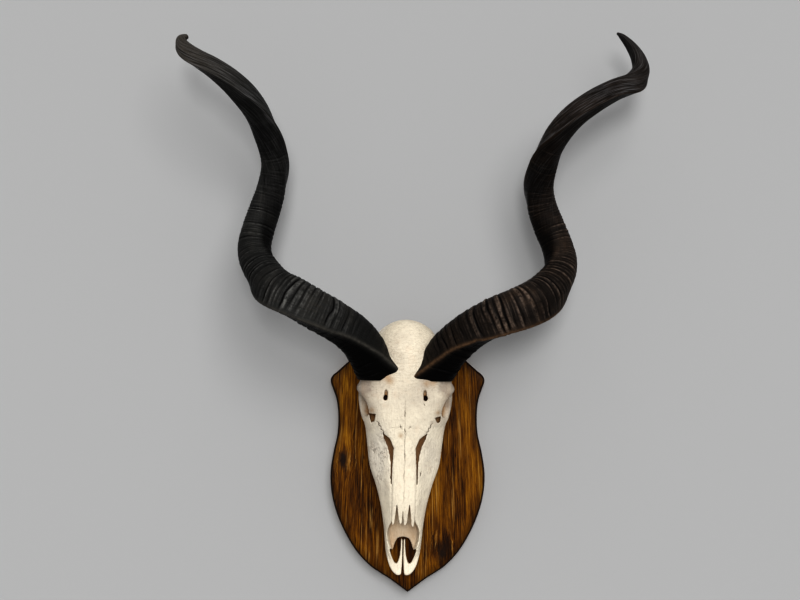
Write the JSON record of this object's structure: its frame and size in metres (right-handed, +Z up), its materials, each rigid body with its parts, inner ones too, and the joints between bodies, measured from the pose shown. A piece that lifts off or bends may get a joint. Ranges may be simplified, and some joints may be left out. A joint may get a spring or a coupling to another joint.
{
  "type": "kudu skull trophy",
  "caption": "Bleached kudu skull with spiral horns, screwed to a stained wooden wall shield that hangs on a keyhole plate.",
  "frame": {"origin": "middle of the shield's back face, which lies against the wall", "axes": "+Z up the wall, +X to the viewer's right, and the trophy faces -Y"},
  "size_m": [0.7166, 0.2196, 0.8762],
  "materials": {
    "bone": "matt, bleached, cream white",
    "dark_horn": "dull sheen, grey black, ringed",
    "brown_horn": "dull sheen, brown black, ringed",
    "stained_wood": "satin, stained pine with a dark grain",
    "steel": "zinc plated"
  },
  "bodies": {
    "root": {"shield": "stained_wood", "skull": "bone", "horn_left": "dark_horn", "horn_right": "brown_horn", "skull_screw_upper": "steel", "skull_screw_lower": "steel", "hanger_plate": "steel", "hanger_screw_upper": "steel", "hanger_screw_lower": "steel"}
  },
  "joints": []
}
